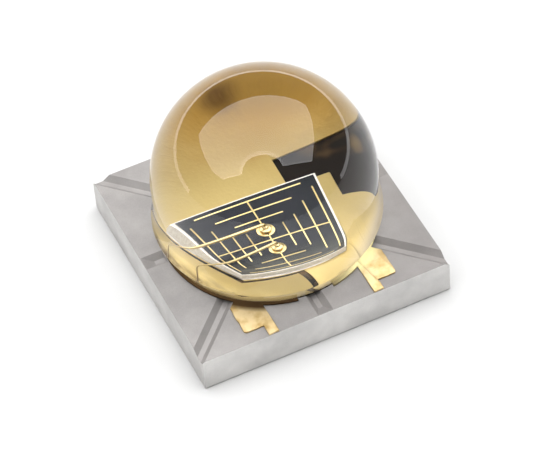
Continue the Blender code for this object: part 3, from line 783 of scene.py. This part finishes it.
class EMITTER_OT_die(bpy.types.Operator):
    """Die on its solder"""
    bl_idname = "emitter.die"
    bl_label = "Die"

    def execute(self, context):
        chip = context.scene.emitter_chip
        half = chip.side / 2
        mesa = half - chip.border
        top = DIE_HIGH.z
        levels = ((half, DIE_LOW.z), (half, top - chip.step), (mesa, top - chip.step), (mesa, top))
        bm = bmesh.new()
        rings = []
        for side, level in levels:
            square = rectangle(-side, side, -side, side)
            rings.append([bm.verts.new((*on_die(chip, x, y), level)) for x, y in square])
        for one, two in zip(rings, rings[1:]):
            for i in range(4):
                j = (i + 1) % 4
                bm.faces.new([one[i], one[j], two[j], two[i]])
        bm.faces.new(rings[0])
        bm.faces.new(rings[-1])
        made = new_object("die_body", to_mesh("die_body", bm))
        dress(made, die_face(chip), die_wall())
        for face in made.data.polygons:
            face.material_index = 0 if face.center.z > top - chip.step / 4 else 1
        finish_piece(made, "die", "emitter_die")
        dress(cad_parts["die_solder"], die_solder())
        return {"FINISHED"}


def finger_tree():
    """Squares of nested half fingers, made of stretched boxes on a line and its turned copies."""
    tree, given = new_tree("nested fingers", {
        "Width": "Float", "Thickness": "Float", "First": "Float", "Pitch": "Float", "Cut back": "Float",
        "Squares": "Int", "Bar": "Float", "Surface": "Material"})
    box = add(tree, "GeometryNodeMeshCube")
    parts = []
    for skip, quarter in ((0.0, 0.0), (1.0, 0.5)):
        start = add(tree, "ShaderNodeMath", {0: given["Pitch"], 1: skip, 2: given["First"]},
                    operation="MULTIPLY_ADD")
        squares = add(tree, "ShaderNodeMath", {0: given["Squares"], 1: skip}, operation="SUBTRACT")
        line = add(tree, "GeometryNodeMeshLine", {
            "Count": squares,
            "Start Location": add(tree, "ShaderNodeCombineXYZ", {0: start}),
            "Offset": add(tree, "ShaderNodeCombineXYZ", {0: given["Pitch"]})})
        at = add(tree, "ShaderNodeSeparateXYZ", {0: add(tree, "GeometryNodeInputPosition")})
        past_first = add(tree, "ShaderNodeMath", {0: given["First"], 1: 1.01}, operation="MULTIPLY")
        inner = add(tree, "ShaderNodeMath", {0: at, 1: past_first}, operation="GREATER_THAN")
        short = add(tree, "ShaderNodeMath", {0: inner, 1: given["Cut back"]}, operation="MULTIPLY")
        half = add(tree, "ShaderNodeMath", {0: at, 1: short}, operation="SUBTRACT")
        reach = add(tree, "ShaderNodeMath", {0: half, 1: 2.0}, operation="MULTIPLY")
        stretch = add(tree, "ShaderNodeCombineXYZ", {0: given["Width"], 1: reach, 2: given["Thickness"]})
        fingers = add(tree, "GeometryNodeInstanceOnPoints",
                      {"Points": line, "Instance": box, "Scale": stretch})
        pair = add(tree, "GeometryNodeMeshLine", {"Count": 2, "Offset": (0.0, 0.0, 0.0)})
        index = add(tree, "GeometryNodeInputIndex")
        quarters = add(tree, "ShaderNodeMath", {0: index, 1: quarter}, operation="ADD")
        turn = add(tree, "ShaderNodeMath", {0: quarters, 1: math.pi}, operation="MULTIPLY")
        parts.append(add(tree, "GeometryNodeInstanceOnPoints", {
            "Points": pair, "Instance": fingers, "Rotation": add(tree, "ShaderNodeCombineXYZ", {2: turn})}))
    for x, y in (("Bar", "Width"), ("Width", "Bar")):
        stretch = add(tree, "ShaderNodeCombineXYZ", {0: given[x], 1: given[y], 2: given["Thickness"]})
        parts.append(add(tree, "GeometryNodeTransform", {"Geometry": box, "Scale": stretch}))
    return close_tree(tree, parts, given["Surface"])


class EMITTER_OT_contact(bpy.types.Operator):
    """Top contact of the die: nested fingers, bars and two round bond pads"""
    bl_idname = "emitter.contact"
    bl_label = "Top contact"

    def execute(self, context):
        chip = context.scene.emitter_chip
        thickness = CONTACT_HIGH.z - CONTACT_LOW.z
        tone = tuple(context.scene.emitter_gold.gold)
        metal = plated_gold("evaporated gold fingers", tone, 0.25, 0.4, 60.0, 0.0005 * MM)
        last = chip.finger_first + chip.finger_pitch * (chip.finger_count - 1)
        made = grown("die_contact", [(0, 0, 0)], finger_tree(), {
            "Width": chip.finger_width, "Thickness": thickness, "First": chip.finger_first,
            "Pitch": chip.finger_pitch, "Cut back": chip.finger_short, "Squares": chip.finger_count,
            "Bar": 2 * last, "Surface": metal})
        bm = bmesh.new()
        bm.from_mesh(made.data)
        for sign in (-1, 1):
            bmesh.ops.create_cone(bm, cap_ends=True, segments=48, radius1=chip.pad_radius,
                                  radius2=chip.pad_radius, depth=thickness,
                                  matrix=Matrix.Translation((0, sign * chip.pad_offset, 0)))
        for v in bm.verts:
            x, y = on_die(chip, v.co.x, v.co.y)
            v.co = (x, y, CONTACT_LOW.z + thickness / 2 + v.co.z)
        for face in bm.faces:
            face.material_index = 0
        bm.to_mesh(made.data)
        bm.free()
        dress(made, metal)
        soften(made, chip.finger_round, 2, 40)
        smooth(made, 35)
        finish_piece(made, "gold_film", "top_contact")
        return {"FINISHED"}


def wire_tree():
    """A round wire along a line, with a squashed ball at each end and a collar on each ball."""
    tree, given = new_tree("bonded wire", {
        "Wire radius": "Float", "Ball radius": "Float", "Ball height": "Float", "Foot radius": "Float",
        "Foot height": "Float", "Surface": "Material"})
    path = add(tree, "GeometryNodeMeshToCurve", {"Mesh": given["Geometry"]})
    ring = add(tree, "GeometryNodeCurvePrimitiveCircle", {"Resolution": 16, "Radius": given["Wire radius"]})
    swept = add(tree, "GeometryNodeCurveToMesh", {"Curve": path, "Profile Curve": ring, "Fill Caps": True})
    parts = [add(tree, "GeometryNodeSetShadeSmooth", {"Geometry": swept})]
    ball = add(tree, "GeometryNodeMeshUVSphere", {"Segments": 32, "Rings": 16, "Radius": 1.0})
    seated = add(tree, "GeometryNodeTransform", {"Geometry": ball, "Translation": (0.0, 0.0, 1.0)})
    rounded = add(tree, "GeometryNodeSetShadeSmooth", {"Geometry": seated})
    for first, last, end_name in ((1, 0, "Ball"), (0, 1, "Foot")):
        end = add(tree, "GeometryNodeCurveEndpointSelection", {"Start Size": first, "End Size": last})
        radius, height = given[end_name + " radius"], given[end_name + " height"]
        for wide, tall in ((1.0, 0.5), (0.55, 0.8)):
            across = add(tree, "ShaderNodeMath", {0: radius, 1: wide}, operation="MULTIPLY")
            upright = add(tree, "ShaderNodeMath", {0: height, 1: tall}, operation="MULTIPLY")
            stretch = add(tree, "ShaderNodeCombineXYZ", {0: across, 1: across, 2: upright})
            parts.append(add(tree, "GeometryNodeInstanceOnPoints", {
                "Points": path, "Selection": end, "Instance": rounded, "Scale": stretch}))
    return close_tree(tree, parts, given["Surface"])


def wire_path(wire, ball, foot):
    """Middle of a wire: up from the ball on the die, over, out to the crest and down to its foot."""
    up = Vector((0, 0, 1))
    toward = Vector((foot.x - ball.x, foot.y - ball.y, 0)).normalized()
    turns = [math.pi / 2 * i / BEND_STEPS for i in range(BEND_STEPS + 1)]
    rise = ball + up * wire.ball_height + toward * wire.loop
    points = [ball] + [rise + (up * math.sin(a) - toward * math.cos(a)) * wire.loop for a in turns]
    fall = foot + up * (wire.crest - wire.bend) - toward * wire.bend
    return points + [fall + (up * math.cos(a) + toward * math.sin(a)) * wire.bend for a in turns] + [foot]


class EMITTER_OT_wires(bpy.types.Operator):
    """The two bond wires"""
    bl_idname = "emitter.wires"
    bl_label = "Bond wires"

    def execute(self, context):
        chip = context.scene.emitter_chip
        wire = context.scene.emitter_wire
        surface = plated_gold("drawn gold wire", tuple(wire.gold), 0.25, 0.4, 60.0, 0.0004 * MM)
        tree = wire_tree()
        for name, node, sign, x, y in (("wire_back", "bond_wire_back", 1, wire.back_x, wire.back_y),
                                       ("wire_front", "bond_wire_front", -1, wire.front_x, wire.front_y)):
            ball = Vector((*on_die(chip, 0, sign * chip.pad_offset), CONTACT_HIGH.z))
            foot = Vector((x, y, FILM_HIGH.z))
            made = grown(name, wire_path(wire, ball, foot), tree, {
                "Wire radius": wire.radius, "Ball radius": wire.ball_radius, "Ball height": wire.ball_height,
                "Foot radius": wire.foot_radius, "Foot height": wire.foot_height, "Surface": surface})
            finish_piece(made, "gold_wire", node)
        return {"FINISHED"}


# Dome

def optic_profile(optic):
    """Half section of dome, flange and gel, from the top of the dome round to the middle of the film."""
    centre = LENS_HIGH.z - optic.radius
    rim = optic.flange_round
    shoulder = LENS_LOW.z + optic.flange_thickness - rim
    profile = [(0.0, LENS_HIGH.z)] + arc(0, centre, optic.radius, math.pi / 2, 0, DOME_STEPS)[1:]
    for i in range(1, FOOT_STEPS):
        share = i / FOOT_STEPS
        height = centre + (shoulder - centre) * share
        ball = math.sqrt(optic.radius ** 2 - (centre - height) ** 2)
        eased = 3 * share ** 2 - 2 * share ** 3
        wall = optic.radius + (optic.flange_radius - optic.radius) * eased ** optic.swell
        profile.append((ball + (wall - ball) * share ** optic.flare, height))
    profile += arc(optic.flange_radius - rim, shoulder, rim, 0, -optic.lean, ROUND_STEPS)
    profile.append((optic.gel_foot, FILM_HIGH.z))
    profile.append((optic.gel_foot - optic.sunk, FILM_HIGH.z - optic.sunk))
    profile.append((optic.gel_foot - rim, BASE_HIGH.z - optic.sunk))
    return profile + [(0.0, BASE_HIGH.z - optic.sunk)]


class EMITTER_OT_optic(bpy.types.Operator):
    """Clear dome with its flange, and the gel under it, as one body of glass"""
    bl_idname = "emitter.optic"
    bl_label = "Dome and gel"

    def execute(self, context):
        optic = context.scene.emitter_optic
        made = new_object("dome_and_gel", turned("dome_and_gel", optic_profile(optic)))
        smooth(made, 30)
        dress(made, clear_optic(optic))
        finish_piece(made, "lens_glass", "dome_lens", "encapsulant")
        return {"FINISHED"}


# Studio

def softbox_outline(settings, grow):
    """A rectangle with one corner cut and a round bay where the camera's barrel stands in front of it."""
    half_x = settings.box_width / 2 + grow
    half_y = settings.box_depth / 2 + grow
    barrel = settings.barrel - grow
    bay = math.asin(settings.barrel_out / barrel)
    outline = [(half_x, half_y), (-half_x, half_y), (-half_x, -half_y * settings.box_cut_y),
               (-half_x * settings.box_cut_x, -half_y)]
    outline += arc(0, -half_y - settings.barrel_out, barrel, math.pi - bay, bay, 32) + [(half_x, -half_y)]
    cosine, sine = math.cos(settings.box_turn), math.sin(settings.box_turn)
    return [(settings.box_x + x * cosine - y * sine, settings.box_y + x * sine + y * cosine)
            for x, y in outline]


def place_camera(scene, settings):
    """The camera at the photograph's angle."""
    azimuth, elevation, roll = settings.azimuth, settings.elevation, settings.roll
    back = Vector((math.sin(azimuth) * math.cos(elevation), -math.cos(azimuth) * math.cos(elevation),
                   math.sin(elevation)))
    right = (-back).cross(Vector((0, 0, 1))).normalized()
    up = right.cross(-back)
    across = math.cos(roll) * right + math.sin(roll) * up
    above = -math.sin(roll) * right + math.cos(roll) * up
    place = Vector((settings.look_x, settings.look_y, settings.look_z)) + back * settings.distance
    camera = bpy.data.cameras.new("camera")
    camera.lens = settings.lens
    camera.sensor_width = 36.0
    camera.clip_start = 0.001
    camera.clip_end = 10.0
    holder = bpy.data.objects.new("camera", camera)
    scene.collection.objects.link(holder)
    holder.matrix_world = Matrix(((across.x, above.x, back.x, place.x), (across.y, above.y, back.y, place.y),
                                  (across.z, above.z, back.z, place.z), (0, 0, 0, 1)))
    scene.camera = holder


class EMITTER_OT_stage(bpy.types.Operator):
    """White card, softbox, lit edge of the table, room and camera"""
    bl_idname = "emitter.stage"
    bl_label = "Studio"

    def execute(self, context):
        settings = context.scene.emitter_stage
        scene = context.scene
        corners = 96
        round_card = arc(0, 0, settings.card_radius, 0, 2 * math.pi * (corners - 1) / corners, corners - 1)
        card = new_object("card", prism("card", round_card, -settings.card_thickness, 0.0))
        dress(card, floor_card(tuple(settings.floor)))

        panels = (("softbox", 0.0, 1.0), ("softbox_rim", settings.box_rim, settings.rim_power))
        for name, grow, share in panels:
            low = settings.box_height + grow * 0.2
            outline = softbox_outline(settings, grow)
            panel = new_object(name, prism(name, outline, low, low + settings.box_panel))
            dress(panel, glow(name, settings.box_power * share))

        first = math.pi / 2 + settings.azimuth - settings.strip_arc / 2
        last = first + settings.strip_arc
        edge = arc(0, 0, settings.strip_radius, first, last, 64)
        edge += arc(0, 0, settings.strip_radius + settings.strip_thickness, last, first, 64)
        strip = new_object("strip", prism("strip", edge, 0.0, settings.strip))
        dress(strip, glow("lit edge of the table", settings.strip_power))

        world = bpy.data.worlds.new("white room")
        scene.world = world
        world.use_nodes = True
        feed(world.node_tree, world.node_tree.nodes["Background"],
             {"Color": linear("FFFFFF"), "Strength": settings.sky_power})
        place_camera(scene, settings)
        scene.view_settings.view_transform = "Standard"
        return {"FINISHED"}


class EMITTER_PT_panel(bpy.types.Panel):
    """Lists the pieces of the emitter and their sizes"""
    bl_label = "Infrared emitter"
    bl_idname = "EMITTER_PT_panel"
    bl_space_type = "VIEW_3D"
    bl_region_type = "UI"
    bl_category = "Emitter"

    def draw(self, context):
        for attribute, operators in PANEL:
            box = self.layout.box()
            for operator in operators:
                box.operator(operator)
            group = getattr(context.scene, attribute)
            for key in group.__annotations__:
                box.prop(group, key)


GROUPS = {
    "emitter_base": EmitterBase,
    "emitter_gold": EmitterGold,
    "emitter_chip": EmitterChip,
    "emitter_wire": EmitterWire,
    "emitter_optic": EmitterOptic,
    "emitter_stage": EmitterStage,
}
PANEL = (
    ("emitter_base", ("emitter.base", "emitter.underside")),
    ("emitter_gold", ("emitter.film",)),
    ("emitter_chip", ("emitter.die", "emitter.contact")),
    ("emitter_wire", ("emitter.wires",)),
    ("emitter_optic", ("emitter.optic",)),
    ("emitter_stage", ("emitter.stage",)),
)
CLASSES = (EMITTER_OT_base, EMITTER_OT_underside, EMITTER_OT_film, EMITTER_OT_die, EMITTER_OT_contact,
           EMITTER_OT_wires, EMITTER_OT_optic, EMITTER_OT_stage, EMITTER_PT_panel)


def register():
    """Registers the sizes, the operators and the panel."""
    for name, group in GROUPS.items():
        bpy.utils.register_class(group)
        setattr(bpy.types.Scene, name, bpy.props.PointerProperty(type=group))
    for made in CLASSES:
        bpy.utils.register_class(made)


def unregister():
    """Takes them out again."""
    for made in reversed(CLASSES):
        bpy.utils.unregister_class(made)
    for name, group in reversed(GROUPS.items()):
        delattr(bpy.types.Scene, name)
        bpy.utils.unregister_class(group)


def main():
    """Builds every piece."""
    register()
    bpy.ops.emitter.base()
    bpy.ops.emitter.underside()
    bpy.ops.emitter.film()
    bpy.ops.emitter.die()
    bpy.ops.emitter.contact()
    bpy.ops.emitter.wires()
    bpy.ops.emitter.optic()
    bpy.ops.emitter.stage()


if __name__ == "__main__":
    main()
